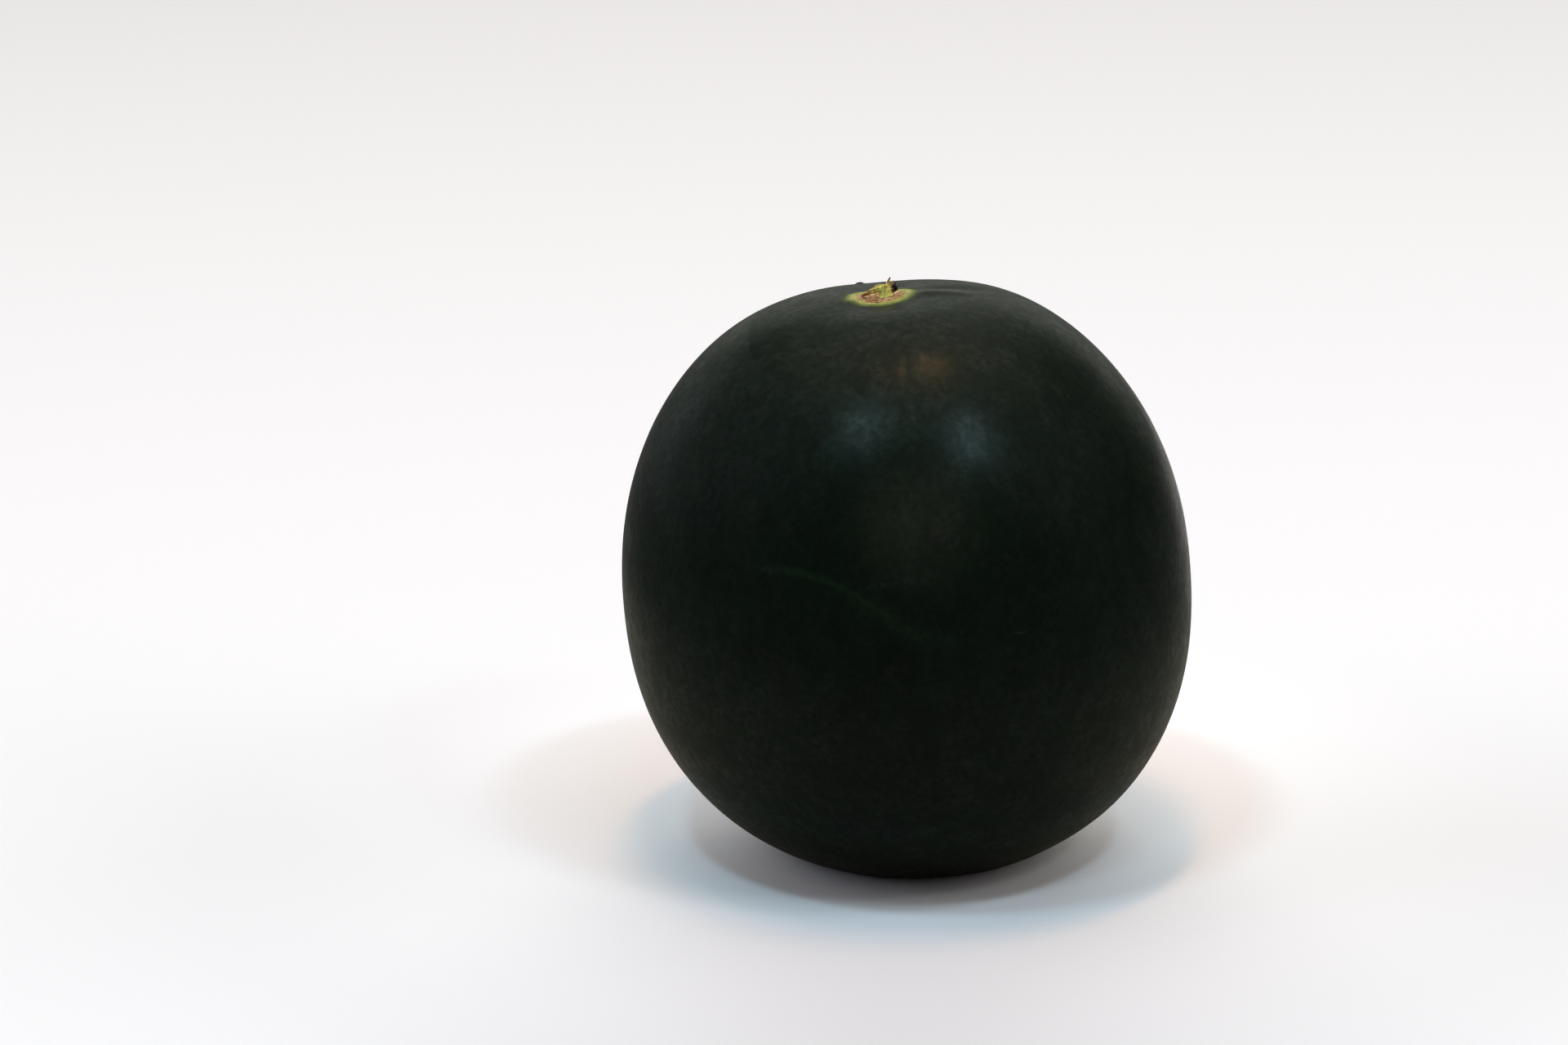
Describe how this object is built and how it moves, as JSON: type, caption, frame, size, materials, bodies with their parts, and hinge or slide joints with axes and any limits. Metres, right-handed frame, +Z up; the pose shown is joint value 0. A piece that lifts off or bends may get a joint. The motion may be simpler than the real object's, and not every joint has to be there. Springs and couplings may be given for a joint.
{
  "type": "watermelon",
  "caption": "Whole round watermelon with a near-black green rind, shallow lobes, a corky stem scar and a torn vine stub, standing on its flattened blossom end.",
  "frame": {"origin": "on the resting surface, under the middle of the fruit", "axes": "+Z up towards the stem end, +X to the right and -Y towards the viewer of the pictured side"},
  "size_m": [0.228, 0.2274, 0.232],
  "materials": {
    "rind": "smooth waxy skin with a low sheen",
    "dry_stem": "matt, fibrous and half dry"
  },
  "bodies": {
    "root": {"fruit": "rind", "stem": "dry_stem"}
  },
  "joints": []
}
